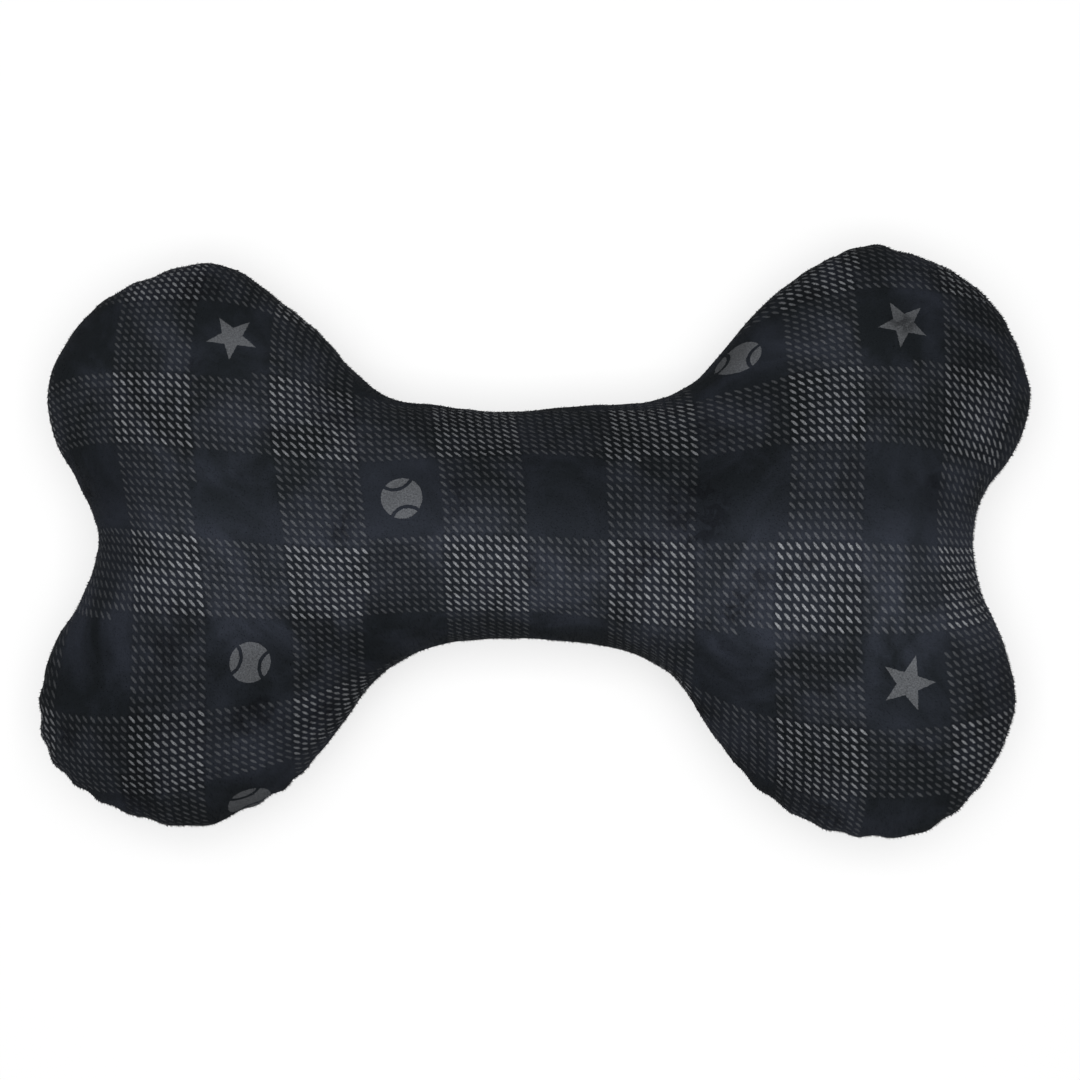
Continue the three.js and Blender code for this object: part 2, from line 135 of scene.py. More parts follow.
def outline_rays():
    """The outer ends of the rays: upright ones along the shaft, and fanned ones round each end."""
    runs = [TOP_RUN_SHARES, LEFT_RUN_SHARES, BOTTOM_RUN_SHARES, RIGHT_RUN_SHARES]
    corners = np.array([corner for run in runs for corner in run]) * half_size
    curve = smooth_curve(corners, CURVE_STEPS)
    curve = np.vstack([curve, curve[:1]])
    edges = []
    passed = 0
    for which, run in enumerate(runs):
        stretch = curve[passed:passed + len(run) * CURVE_STEPS + 1]
        passed += len(run) * CURVE_STEPS
        if which % 2:
            count = END_RAYS * FINER
            measure = np.append(0, np.cumsum(np.linalg.norm(np.diff(stretch, axis=0), axis=1)))
        else:
            count = SHAFT_RAYS * FINER
            measure = np.abs(stretch[:, 0] - stretch[0, 0])
        wanted = measure[-1] * np.arange(count) / count
        edges.append(np.column_stack([np.interp(wanted, measure, axis) for axis in stretch.T]))
    edges = np.vstack(edges)
    low, high = edges.min(0), edges.max(0)
    return (edges - (low + high) / 2) * 2 * half_size / (high - low) + middle


edge = outline_rays()
foot = np.column_stack([np.clip(edge[:, 0], -end_centre_x, end_centre_x), np.full(len(edge), spine_y)])
along = np.roll(edge, -1, axis=0) - np.roll(edge, 1, axis=0)
outward = np.column_stack([along[:, 1], -along[:, 0]]) / np.linalg.norm(along, axis=1, keepdims=True)
seam_place = np.append(0, np.cumsum(np.linalg.norm(np.diff(edge, axis=0), axis=1)))


# Swell of the stuffed bone. Pressure from the filling bends the cloth alike everywhere, so half
# the square of its height solves a membrane's equation inside the outline: the shaft comes out
# round, the ends swell with their width, and both ends are filled to the same thickness.
SEAM_ROLL_RADIUS = 2.5 * MM
SEAM_GAP = 0.2 * MM
REST_FLAT_DEPTH = 0.5 * MM
COARSE_SOLVE_STEPS = 400
FINE_SOLVE_STEPS = 120

seam_height = (cad_high.z - cad_low.z - REST_FLAT_DEPTH) / 2
crown_rise = cad_high.z - seam_height
roll_top = SEAM_GAP / 2 + SEAM_ROLL_RADIUS
ring_shares = np.sin(math.pi / 2 * np.arange(SKIN_RINGS * FINER + 1) / (SKIN_RINGS * FINER))
plan = foot + (edge - foot) * ring_shares[:, None, None]


def numbered(rings):
    """Rings of points as one list, where points at one place are one, and their numbers in it."""
    flat = rings.reshape(-1, rings.shape[2])
    _, first, number = np.unique(np.round(flat, 8), axis=0, return_index=True, return_inverse=True)
    return flat[first], number.reshape(rings.shape[:2])


def membrane(plan, start, steps):
    """Solves the membrane's equation on the rings and rays of a plan, held at the outermost ring."""
    place, number = numbered(plan)
    inner, outer = number[:-1], number[1:]
    inner_next, outer_next = np.roll(inner, -1, axis=1), np.roll(outer, -1, axis=1)
    faces = np.concatenate([
        np.stack([inner, outer, outer_next], axis=2).reshape(-1, 3),
        np.stack([inner, outer_next, inner_next], axis=2).reshape(-1, 3)])
    side = place[np.roll(faces, 1, axis=1)] - place[np.roll(faces, -1, axis=1)]
    area = np.abs(side[:, 0, 0] * side[:, 1, 1] - side[:, 0, 1] * side[:, 1, 0]) / 2
    faces, side, area = faces[area > 0], side[area > 0], area[area > 0]
    weights = (np.einsum("fik,fjk->fij", side, side) / (4 * area[:, None, None])).ravel()
    rows = np.repeat(faces, 3, axis=1).ravel()
    columns = np.tile(faces, (1, 3)).ravel()
    free = np.ones(len(place), bool)
    free[number[-1]] = False
    kept = free[rows] & free[columns]
    rows, columns, weights = rows[kept], columns[kept], weights[kept]
    load = np.bincount(faces.ravel(), np.repeat(area / 3, 3), len(place)) * free
    diagonal = np.bincount(rows, weights * (rows == columns), len(place)) + ~free
    level = np.zeros(len(place))
    level[number] = start
    level *= free
    rest = load - np.bincount(rows, weights * level[columns], len(place))
    ahead = rest / diagonal
    step = ahead.copy()
    strength = rest @ ahead
    for _ in range(steps):
        pulled = np.bincount(rows, weights * step[columns], len(place))
        share = strength / (step @ pulled)
        level += share * step
        rest -= share * pulled
        ahead = rest / diagonal
        before, strength = strength, rest @ ahead
        step = ahead + strength / before * step
    return level[number]


def filled_in(coarse):
    """Levels on the coarse rings and rays, filled in evenly between them."""
    rings = np.arange(SKIN_RINGS * FINER + 1) / FINER
    below = np.minimum(rings.astype(int), SKIN_RINGS - 1)
    share = (rings - below)[:, None]
    full = coarse[below] * (1 - share) + coarse[below + 1] * share
    share = np.arange(FINER) / FINER
    full = full[:, :, None] * (1 - share) + np.roll(full, -1, axis=1)[:, :, None] * share
    return full.reshape(len(rings), -1)


def smoothstep(low, high, value):
    t = np.clip((value - low) / (high - low), 0, 1)
    return t * t * (3 - 2 * t)


coarse_level = membrane(plan[::FINER, ::FINER], 0, COARSE_SOLVE_STEPS)
blown = np.sqrt(np.maximum(membrane(plan, filled_in(coarse_level), FINE_SOLVE_STEPS), 0))
left_crown, right_crown = (blown[:, side * foot[:, 0] > 0].max() for side in (-1, 1))
evened = blown / (left_crown + (right_crown - left_crown) * smoothstep(
    -end_centre_x, end_centre_x, plan[..., 0]))
rise = np.hypot(evened * math.sqrt(crown_rise**2 - roll_top**2), roll_top)
form = np.dstack([plan, rise])


# Stuffing of the cloth. It is cut a little fuller than the form, so the filling's pressure
# rounds it out and leaves soft folds where the outline turns in, while the seam holds its place.
STUFFING_PRESSURE = 4.0
SPARE_CLOTH_SHARE = 0.01
START_SHARE = 0.955
CLOTH_STIFFNESS = 5
STUFFING_STEPS = 20
MOVE_CAP = 5 * MM
CLOTH_CELL = 5 * MM
SEAM_HOLD = 6.5 * MM
CARRY_REACH = 5 * MM
CARRIERS = 10


def surface_faces(number):
    """Quads between numbered rings, as triangles where a ring folds up into a point or a line."""
    inner, outer = number[:-1], number[1:]
    quads = np.stack([inner, outer, np.roll(outer, -1, axis=1), np.roll(inner, -1, axis=1)], axis=2)
    faces = [list(dict.fromkeys(quad)) for quad in quads.reshape(-1, 4).tolist()]
    return [face for face in faces if len(face) > 2]


def tree_of(points):
    tree = KDTree(len(points))
    for which, point in enumerate(points):
        tree.insert(point, which)
    tree.balance()
    return tree


def new_object(name, mesh):
    made = bpy.data.objects.new(name, mesh)
    scene.collection.objects.link(made)
    return made


def plain_mesh(made):
    """What the modifiers of an object make of its mesh."""
    graph = bpy.context.evaluated_depsgraph_get()
    return bpy.data.meshes.new_from_object(made.evaluated_get(graph))


def stuffed(front):
    """The front and the back skin, once the filling has pushed the cloth out."""
    place, number = numbered(np.concatenate([front, (front * (1, 1, -1))[::-1]]))
    mesh = bpy.data.meshes.new("stuffed_cloth")
    mesh.from_pydata(place.tolist(), [], surface_faces(number))
    cloth = new_object("stuffed_cloth", mesh)
    cells = cloth.modifiers.new("cells", "REMESH")
    cells.mode = "VOXEL"
    cells.voxel_size = CLOTH_CELL
    cloth.data = plain_mesh(cloth)
    cloth.modifiers.clear()
    before = np.array([vertex.co for vertex in cloth.data.vertices])
    seam_tree = tree_of([(x, y, 0) for x, y in edge])
    held = [which for which, point in enumerate(before) if seam_tree.find(point)[2] < SEAM_HOLD]
    cloth.vertex_groups.new(name="seam").add(held, 1.0, "REPLACE")
    filling = cloth.modifiers.new("filling", "CLOTH")
    settings = filling.settings
    settings.use_pressure = True
    settings.uniform_pressure_force = STUFFING_PRESSURE
    settings.shrink_min = -SPARE_CLOTH_SHARE
    settings.vertex_group_mass = "seam"
    settings.bending_stiffness = CLOTH_STIFFNESS
    settings.effector_weights.gravity = 0
    filling.collision_settings.use_collision = False
    for step in range(1, STUFFING_STEPS + 1):
        scene.frame_set(step)
    move = np.array([vertex.co for vertex in plain_mesh(cloth).vertices]) - before
    bpy.data.objects.remove(cloth)
    scene.frame_set(1)
    reach = np.linalg.norm(move, axis=1, keepdims=True)
    move *= MOVE_CAP / np.maximum(reach, MOVE_CAP)
    carriers = tree_of(before)
    skins = []
    for up in (1, -1):
        place, number = numbered(front * (1, 1, up))
        carried = np.empty_like(place)
        for which, point in enumerate(place):
            near = carriers.find_n(point, CARRIERS)
            weight = np.exp([-(far / CARRY_REACH) ** 2 for _, _, far in near])
            carried[which] = weight @ move[[carrier for _, carrier, _ in near]] / weight.sum()
        skins.append((place + carried)[number] * (1, 1, up))
    return skins


start = form * (1, 1, START_SHARE)
start[-1] = form[-1]
front_skin, back_skin = stuffed(start)
for moved in (front_skin, back_skin):
    moved[-1] = form[-1]


# Gathers: the seam takes the cloth's fullness up in small puckers round the lobes, deepest under
# the two lower ones. Each place is a share of half the length and half the width.
PUCKER_PITCH = 11.5 * MM
PUCKER_WANDER = 5
PUCKER_WANDER_SIZE = 40 * MM
PUCKER_DEPTH = 1.3 * MM
PUCKER_DIP_SHARE = 1.6
PUCKER_REACH = 7 * MM
PUCKER_BASE_SHARE = 0.12
PUCKER_SPREAD = 17 * MM
PUCKER_PLACES = [
    ((-0.98, -0.62), 0.9), ((-0.9, -0.85), 0.9), ((-0.72, -0.95), 0.7), ((-0.53, -0.86), 0.8),
    ((0.47, -0.86), 0.7), ((0.64, -0.98), 0.8), ((0.84, -0.93), 0.7), ((-0.8, 0.87), 0.6),
    ((0.68, 1.0), 0.5), ((-0.45, 0.7), 0.3), ((0.94, 0.76), 0.3),
]


def puckers():
    """How far the seam is drawn in at each ray."""
    drift = np.array([noise.noise((place / PUCKER_WANDER_SIZE, 0.5, 0)) for place in seam_place])
    wave = np.cos(2 * math.pi * seam_place / PUCKER_PITCH + PUCKER_WANDER * drift)
    strength = np.full(len(edge), PUCKER_BASE_SHARE)
    for share, deep in PUCKER_PLACES:
        far = np.linalg.norm(edge - np.array(share) * half_size, axis=1)
        strength = np.maximum(strength, deep * np.exp(-(far / PUCKER_SPREAD) ** 2))
    return PUCKER_DEPTH * strength * (1 - wave) / 2


drawn_in = puckers()
edge = edge - outward * drawn_in[:, None]
for gathered in (front_skin, back_skin):
    from_seam = np.linalg.norm(gathered - gathered[-1:], axis=2)
    share = np.exp(-from_seam / PUCKER_REACH)
    share[0] = 0
    gathered[..., :2] -= outward * (share * drawn_in)[..., None]
    gathered[..., 2] -= drawn_in * share * (1 - share) * PUCKER_DIP_SHARE


# Printed plush: velboa, a polyester knit with a short shorn pile, printed in grey on near-black
# navy with a gingham of one-inch squares, whose tones are rows of twill strokes, and a few stars
# and balls in its dark squares. Its print runs on the cloth as it was cut flat, in millimetres.
SQUARE = 25.4
TWILL_TURN = math.radians(45)
TWILL_PITCH = 3.8
TWILL_ROW = 1.85
STROKE_LENGTH = 3.1
STROKE_WIDTH = 0.88
STROKE_EDGE = (1.1, 0.6)
STROKE_FAINTEST = 0.55
HALF_TONE_SHARE = 0.28
MOTIF_TONE_SHARE = 0.42
MOTIF_SHARE = 0.3
MOTIF_DRAW = (36, 12, 0)
STAR_REACH = 8.2
STAR_WAIST = 3.4
BALL_RADIUS = 6.4
BALL_SEAM_PLACE = 8.6
BALL_SEAM_RADIUS = 5.6
BALL_SEAM_WIDTH = 1.1
PRINT_RAGGED = 0.4
RAG_SIZE = 0.8
TIP_SIZE = 0.5
TIP_RANGE = (0.35, 0.65)
TIP_FADE = 0.4
DYED_DARKER = 0.3
# A painted highlight along the crown, where it faces the lamp: its middle and width on the cloth, its
# soft edge, and how much lighter and bluer it paints the cloth
PAINTED_HIGHLIGHT_MIDDLE = -10
PAINTED_HIGHLIGHT_WIDTH = 34
PAINTED_HIGHLIGHT_EDGE = (0.75, 0.25)
PAINTED_HIGHLIGHT_LIGHTER = 1.3
PAINTED_HIGHLIGHT_BLUER = 0.4
PATCH_SIZE = 26
PATCH_BLUE = (0.42, 0.68)
LIE_SIZE = 85
SHADE_RANGES = [(0.3, 0.7, 0.18), (0.3, 0.7, 0.14), (0.35, 0.65, 0.15)]
CRUSH_SIZE = 24
CRUSH_RANGE = (0.6, 0.72)
CRUSH_FOLD = 4.5
CRUSH_FOLD_RANGE = (0.45, 0.58)
CRUSH_FLAT_SHARE = 0.3
CRUSH_DEPTH = 0.6
CRUSH_SPOTS = [((51, 8), 13), ((-87, -55), 9), ((63, -20), 4)]
RIB_PITCH = 1.5 * MM
# How far apart a wave texture's bands are at a scale of one; diagonal ones are twice as far apart
WAVE_TURN = 2 * math.pi / 20
NAVY = "#25282f"
SOOT = "#181b1e"
INK = "#7f8184"
CRUSHED = "#0e0f12"


def paint(hex_colour):
    """A linear colour from an sRGB hex value."""
    channels = [int(hex_colour[i:i + 2], 16) / 255 for i in (1, 3, 5)]
    return (*(c / 12.92 if c <= 0.04045 else ((c + 0.055) / 1.055) ** 2.4 for c in channels), 1)


def add_node(tree, kind, inputs=(), operation=None, **settings):
    """Adds a node with its settings, a shader node where its kind doesn't say. Its inputs come in
    their order, or by name or number: values, sockets, or nodes that stand for their first output."""
    node = tree.nodes.new(kind if "Node" in kind else "ShaderNode" + kind)
    if operation:
        node.operation = operation
    for name, value in settings.items():
        setattr(node, name, value)
    for name, value in inputs.items() if isinstance(inputs, dict) else enumerate(inputs):
        if isinstance(value, bpy.types.Node):
            value = value.outputs[0]
        if isinstance(value, bpy.types.NodeSocket):
            tree.links.new(value, node.inputs[name])
        else:
            node.inputs[name].default_value = value
    return node


def new_material(name):
    """An empty material and its tree."""
    made = bpy.data.materials.new(name)
    made.use_nodes = True
    made.node_tree.nodes.clear()
    return made, made.node_tree


def end_material(tree, colour, roughness, height, strength, depth, others=None):
    """Ends a material's tree with its surface, whose bumps follow a height."""
    bump = add_node(tree, "Bump", {"Height": height, "Strength": strength, "Distance": depth})
    surface = add_node(tree, "BsdfPrincipled", {
        "Base Color": colour.outputs[2], "Roughness": roughness, "Normal": bump, **(others or {})})
    add_node(tree, "OutputMaterial", [surface])


# Shorn pile gives a soft matt face, patches that lie brushed one way or another, and a few spots
# where it is crushed; the ink sits on the pile's tips, so its edges are ragged.
plush, tree = new_material("printed_velboa_plush")
cloth = add_node(tree, "Attribute", attribute_name="cloth").outputs["Vector"]
rags = add_node(tree, "TexNoise", {"Vector": cloth, "Scale": 1 / RAG_SIZE, "Detail": 1.0})
rags = add_node(tree, "VectorMath", [rags.outputs["Color"], (0.5, 0.5, 0.5)], "SUBTRACT")
ragged = add_node(tree, "VectorMath", [rags, (PRINT_RAGGED, PRINT_RAGGED, 0), cloth], "MULTIPLY_ADD")

# Twill: short strokes in slanting rows, every other row moved on by half a pitch
slant = add_node(tree, "VectorRotate", {"Vector": ragged, "Angle": TWILL_TURN}, rotation_type="Z_AXIS")
slant = add_node(tree, "VectorMath", [slant, (1 / TWILL_PITCH, 1 / TWILL_ROW, 0)], "MULTIPLY")
row = add_node(tree, "Math", [add_node(tree, "SeparateXYZ", [slant]).outputs["Y"]], "FLOOR")
half_row = add_node(tree, "Math", [row, 0.5], "MULTIPLY")
moved_on = add_node(tree, "CombineXYZ", [add_node(tree, "Math", [half_row], "FRACT")])
brick = add_node(tree, "VectorMath", [slant, moved_on])
inside = add_node(tree, "VectorMath", [brick], "FRACTION")
inside = add_node(tree, "VectorMath", [inside, (0.5, 0.5, 0)], "SUBTRACT")
inside = add_node(tree, "VectorMath", [
    inside, (2 * TWILL_PITCH / STROKE_LENGTH, 2 * TWILL_ROW / STROKE_WIDTH, 0)], "MULTIPLY")
out_of_stroke = add_node(tree, "VectorMath", [inside], "LENGTH").outputs["Value"]
stroke = add_node(tree, "MapRange", [out_of_stroke, *STROKE_EDGE], interpolation_type="SMOOTHSTEP")
number = add_node(tree, "VectorMath", [brick], "FLOOR")
uneven = add_node(tree, "TexWhiteNoise", {"Vector": number}, noise_dimensions="2D")
uneven = add_node(tree, "MapRange", {"Value": uneven, "To Min": STROKE_FAINTEST})
stroke = add_node(tree, "Math", [stroke, uneven], "MULTIPLY")

# Gingham: a stroke belongs to the square in which its middle lies, so none is cut off
core = add_node(tree, "VectorMath", [number, moved_on], "SUBTRACT")
core = add_node(tree, "VectorMath", [core, (0.5, 0.5, 0)])
core = add_node(tree, "VectorMath", [core, (TWILL_PITCH, TWILL_ROW, 0)], "MULTIPLY")
core = add_node(tree, "VectorRotate", {"Vector": core, "Angle": -TWILL_TURN}, rotation_type="Z_AXIS")
repeat = add_node(tree, "VectorMath", [core, (0.5 / SQUARE,) * 3], "MULTIPLY")
repeat = add_node(tree, "VectorMath", [repeat], "FRACTION")
warp, weft, _ = add_node(tree, "SeparateXYZ", [repeat]).outputs
light_warp = add_node(tree, "Math", [warp, 0.5], "GREATER_THAN")
light_weft = add_node(tree, "Math", [weft, 0.5], "GREATER_THAN")
half_tone = add_node(tree, "Math", [light_warp, light_weft], "MAXIMUM")
full_tone = add_node(tree, "Math", [light_warp, light_weft], "MINIMUM")
tone = add_node(tree, "Mix", {0: full_tone, 2: HALF_TONE_SHARE, 3: 1.0})
tone = add_node(tree, "Math", [tone, half_tone], "MULTIPLY")
twill = add_node(tree, "Math", [stroke, tone], "MULTIPLY")

# A star or a ball in some of the dark squares, each turned its own way
repeat = add_node(tree, "VectorMath", [ragged, (0.5 / SQUARE,) * 3], "MULTIPLY")
which = add_node(tree, "VectorMath", [repeat], "FLOOR")
which = add_node(tree, "VectorMath", [which, MOTIF_DRAW])
lot = add_node(tree, "TexWhiteNoise", {"Vector": which}, noise_dimensions="2D").outputs["Color"]
turn_lot, kind_lot, present_lot = add_node(tree, "SeparateXYZ", [lot]).outputs
turn = add_node(tree, "Math", [turn_lot, 2 * math.pi], "MULTIPLY")
local = add_node(tree, "VectorMath", [repeat], "FRACTION")
local = add_node(tree, "VectorMath", [
    local, (2 * SQUARE, 2 * SQUARE, 0), (-SQUARE / 2, -SQUARE / 2, 0)], "MULTIPLY_ADD")
local = add_node(tree, "VectorRotate", {"Vector": local, "Angle": turn}, rotation_type="Z_AXIS")
x, y, _ = add_node(tree, "SeparateXYZ", [local]).outputs
far = add_node(tree, "VectorMath", [local], "LENGTH").outputs["Value"]
bearing = add_node(tree, "Math", [y, x], "ARCTAN2")
folded = add_node(tree, "Math", [bearing, math.pi / 5], "PINGPONG")
ahead = add_node(tree, "Math", [folded], "COSINE")
aside = add_node(tree, "Math", [folded], "SINE")
slope = (STAR_REACH / STAR_WAIST - math.cos(math.pi / 5)) / math.sin(math.pi / 5)
star = add_node(tree, "Math", [aside, slope, ahead], "MULTIPLY_ADD")
star = add_node(tree, "Math", [star, far], "MULTIPLY")
star = add_node(tree, "Math", [star, STAR_REACH], "LESS_THAN")
seam_x = add_node(tree, "Math", [x], "ABSOLUTE")
seam_x = add_node(tree, "Math", [seam_x, BALL_SEAM_PLACE], "SUBTRACT")
seam_spot = add_node(tree, "CombineXYZ", [seam_x, y])
seam_far = add_node(tree, "VectorMath", [seam_spot], "LENGTH").outputs["Value"]
seam_line = add_node(tree, "Math", [seam_far, BALL_SEAM_RADIUS, BALL_SEAM_WIDTH / 2], "COMPARE")
ball = add_node(tree, "Math", [far, BALL_RADIUS], "LESS_THAN")
ball = add_node(tree, "Math", [ball, seam_line], "SUBTRACT", use_clamp=True)
is_ball = add_node(tree, "Math", [kind_lot, 0.5], "GREATER_THAN")
motif = add_node(tree, "Mix", {0: is_ball, 2: star, 3: ball})
present = add_node(tree, "Math", [present_lot, MOTIF_SHARE], "LESS_THAN")
present = add_node(tree, "Math", [present, MOTIF_TONE_SHARE], "MULTIPLY")
motif = add_node(tree, "Math", [motif, present], "MULTIPLY")
inked = add_node(tree, "Math", [twill, motif], "MAXIMUM")

# Pile: how it lies on the whole, brushed patches, single tips, and crushed spots. A painted highlight
# runs along the middle of the toy, where its crown faces the lamp: the cloth is painted lighter and
# bluer there.
lie = add_node(tree, "TexNoise", {"Vector": cloth, "Scale": 1 / LIE_SIZE, "Detail": 1.0})
patches = add_node(tree, "TexNoise", {
    "Vector": cloth, "Scale": 1 / PATCH_SIZE, "Detail": 4.0, "Roughness": 0.6, "Distortion": 0.5})
# Painted highlight: a wavering band along the middle of the toy, where the crown faces the lamp,
# painted lighter and bluer
across = add_node(tree, "SeparateXYZ", [cloth]).outputs["Y"]
across = add_node(tree, "Math", [patches, PAINTED_HIGHLIGHT_WIDTH, across], "MULTIPLY_ADD")
across = add_node(tree, "Math", [across, PAINTED_HIGHLIGHT_MIDDLE + PAINTED_HIGHLIGHT_WIDTH / 2], "SUBTRACT")
across = add_node(tree, "Math", [across], "ABSOLUTE")
painted_highlight = add_node(tree, "MapRange", [
    across, PAINTED_HIGHLIGHT_EDGE[0] * PAINTED_HIGHLIGHT_WIDTH, PAINTED_HIGHLIGHT_EDGE[1] * PAINTED_HIGHLIGHT_WIDTH],
    interpolation_type="SMOOTHSTEP")
blueness_and_highlight = add_node(tree, "MapRange", [patches, *PATCH_BLUE])
blueness_and_highlight = add_node(tree, "Math", [painted_highlight, PAINTED_HIGHLIGHT_BLUER, blueness_and_highlight], "MULTIPLY_ADD", use_clamp=True)
ground_and_highlight = add_node(tree, "Mix", {0: blueness_and_highlight, 6: paint(SOOT), 7: paint(NAVY)}, data_type="RGBA")
dyed = add_node(tree, "MapRange", {"Value": tone, "To Min": 1.0, "To Max": 1 - DYED_DARKER})
ground_and_highlight = add_node(tree, "Mix", {
    0: 1.0, 6: ground_and_highlight.outputs[2], 7: dyed}, data_type="RGBA", blend_type="MULTIPLY")
tips = add_node(tree, "TexNoise", {
    "Vector": cloth, "Scale": 1 / TIP_SIZE, "Detail": 3.0, "Roughness": 0.7})
fade = add_node(tree, "MapRange", [tips, *TIP_RANGE, 1 - TIP_FADE])
ink_share = add_node(tree, "Math", [inked, fade], "MULTIPLY")
colour = add_node(tree, "Mix", {0: ink_share, 6: ground_and_highlight.outputs[2], 7: paint(INK)}, data_type="RGBA")
crush_zone = add_node(tree, "TexNoise", {"Vector": cloth, "Scale": 1 / CRUSH_SIZE, "Detail": 1.0})
crush_zone = add_node(tree, "MapRange", [crush_zone, *CRUSH_RANGE], interpolation_type="SMOOTHSTEP")
for place, reach in CRUSH_SPOTS:
    off = add_node(tree, "VectorMath", [cloth, (*place, 0)], "DISTANCE")
    pressed = add_node(tree, "MapRange", [
        off.outputs["Value"], reach, reach / 2], interpolation_type="SMOOTHSTEP")
    crush_zone = add_node(tree, "Math", [crush_zone, pressed], "MAXIMUM")
folds = add_node(tree, "TexNoise", {"Vector": cloth, "Scale": 1 / CRUSH_FOLD, "Distortion": 1.2})
folds = add_node(tree, "MapRange", [
    folds, *CRUSH_FOLD_RANGE, CRUSH_FLAT_SHARE], interpolation_type="SMOOTHSTEP")
crush = add_node(tree, "Math", [crush_zone, folds], "MULTIPLY")
crush = add_node(tree, "Math", [crush, CRUSH_DEPTH], "MULTIPLY")
colour = add_node(tree, "Mix", {0: crush, 6: colour.outputs[2], 7: paint(CRUSHED)}, data_type="RGBA")
# The cloth is painted lighter in the highlight's band, and lighter or darker at random by the tips,
# patches and lie
highlight_and_tone = add_node(tree, "MapRange", {"Value": painted_highlight, "To Min": 1.0, "To Max": PAINTED_HIGHLIGHT_LIGHTER})
for source, (least, most, reach) in zip((tips, patches, lie), SHADE_RANGES):
    uneven = add_node(tree, "MapRange", [source, least, most, 1 - reach, 1 + reach])
    highlight_and_tone = add_node(tree, "Math", [highlight_and_tone, uneven], "MULTIPLY")
colour = add_node(tree, "Mix", {
    0: 1.0, 6: colour.outputs[2], 7: highlight_and_tone}, data_type="RGBA", blend_type="MULTIPLY")
pile_height = add_node(tree, "Math", [tips, crush], "SUBTRACT")
end_material(tree, colour, roughness=0.9, height=pile_height, strength=0.5, depth=0.4 * MM, others={
    "Specular IOR Level": 0.04})

# The wrong side of the cloth: a plain dark knit, whose ribs run along the toy. They are drawn twice
# as coarse as real ones, so that they show.
backing, tree = new_material("knitted_plush_backing")
place = add_node(tree, "TexCoord").outputs["Object"]
ribs = add_node(tree, "TexWave", {
    "Vector": place, "Scale": WAVE_TURN / RIB_PITCH, "Distortion": 0.6}, bands_direction="Y")
knit = add_node(tree, "Mix", {0: ribs, 6: paint("#191a1e"), 7: paint("#2b2d33")}, data_type="RGBA")
end_material(tree, knit, roughness=0.9, height=ribs, strength=0.6, depth=0.3 * MM)


# Plush panels: one piece of cloth each from lobe to lobe. Each rolls in at the seam, ends in its
# seam allowance and is closed by its own wrong side, against the stuffing.
PLUSH_THICKNESS = 2.2 * MM
SEAM_ALLOWANCE = 6 * MM
ROLL_STEPS = 6
INNER_STEP = 4
SHAFT_STRETCH_SHARE = 0.1
END_STRETCH_SHARE = 0.45
END_BEGINS_SHARES = (0.35, 0.75)
DRIFT = 9 * MM
DRIFT_SIZE = 95 * MM
DRIFT_SEED = 4
BACK_PRINT_SHIFT = (11.0, -8.0)


def faced(points):
    """The direction that faces out at each point of a front skin."""
    place, number = numbered(points)
    across = points[1:, :] - np.roll(points[:-1], -1, axis=1)
    other = np.roll(points[1:], -1, axis=1) - points[:-1]
    square = np.cross(other, across) * -1
    total = np.zeros_like(place)
    corners = [number[:-1], number[1:]]
    corners += [np.roll(ring, -1, axis=1) for ring in corners]
    for corner in corners:
        for axis in range(3):
            total[:, axis] += np.bincount(corner.ravel(), square[..., axis].ravel(), len(place))
    total /= np.linalg.norm(total, axis=1, keepdims=True)
    return total[number]


def edge_ring(inset, height):
    return np.column_stack([edge - outward * inset, np.full(len(edge), height)])


def panel_rings(outer):
    """A panel's rings: its face, the roll at the seam, the allowance, and its wrong side."""
    turns = np.linspace(0, math.pi / 2, ROLL_STEPS + 1)[1:]
    allowance_end = SEAM_ROLL_RADIUS + SEAM_ALLOWANCE
    rolled = [
        edge_ring(SEAM_ROLL_RADIUS * (1 - math.cos(turn)), roll_top - SEAM_ROLL_RADIUS * math.sin(turn))
        for turn in turns]
    turned_in = [
        edge_ring(allowance_end, SEAM_GAP / 2),
        edge_ring(allowance_end, SEAM_GAP / 2 + PLUSH_THICKNESS),
        edge_ring(SEAM_ROLL_RADIUS + PLUSH_THICKNESS / 2, SEAM_GAP / 2 + PLUSH_THICKNESS)]
    wrong_side = (outer - faced(outer) * PLUSH_THICKNESS)[-1 - INNER_STEP::-INNER_STEP]
    return np.concatenate([outer, rolled, turned_in, wrong_side])


def cut_flat():
    """Where each ring of a panel lies on the flat cloth, in millimetres: the knit gives a little."""
    steps = np.linalg.norm(np.diff(form, axis=0), axis=2)
    run = np.vstack([np.zeros(form.shape[1]), np.cumsum(steps, axis=0)])
    way = form[-1, :, :2] - foot
    reach = np.linalg.norm(way, axis=1)
    way /= reach[:, None]
    give = SHAFT_STRETCH_SHARE + (END_STRETCH_SHARE - SHAFT_STRETCH_SHARE) * smoothstep(
        *END_BEGINS_SHARES, np.abs(plan[..., 0]) / half_size[0])
    spread_out = run ** (1 - give) * (ring_shares[:, None] * reach) ** give
    beyond = SEAM_ROLL_RADIUS * np.linspace(0, math.pi / 2, ROLL_STEPS + 1)[1:]
    beyond = np.append(beyond, beyond[-1] + SEAM_ALLOWANCE * np.array([1, 1, 0]))
    flat = foot + way * np.vstack([spread_out, spread_out[-1] + beyond[:, None]])[..., None]
    noise.seed_set(DRIFT_SEED)
    spots = flat.reshape(-1, 2) / DRIFT_SIZE
    drift = np.array([noise.noise_vector((x, y, 0.3)) for x, y in spots])
    flat = flat + DRIFT * drift[:, :2].reshape(flat.shape)
    return np.concatenate([flat, flat[len(form) - 1 - INNER_STEP::-INNER_STEP]]) / MM


def add_cloth_places(mesh, places):
    """Keeps each vertex's place on the flat cloth as the attribute that the print follows."""
    attribute = mesh.attributes.new("cloth", "FLOAT_VECTOR", "POINT")
    attribute.data.foreach_set("vector", np.ravel(places).astype(np.float32))


flat_rings = cut_flat()


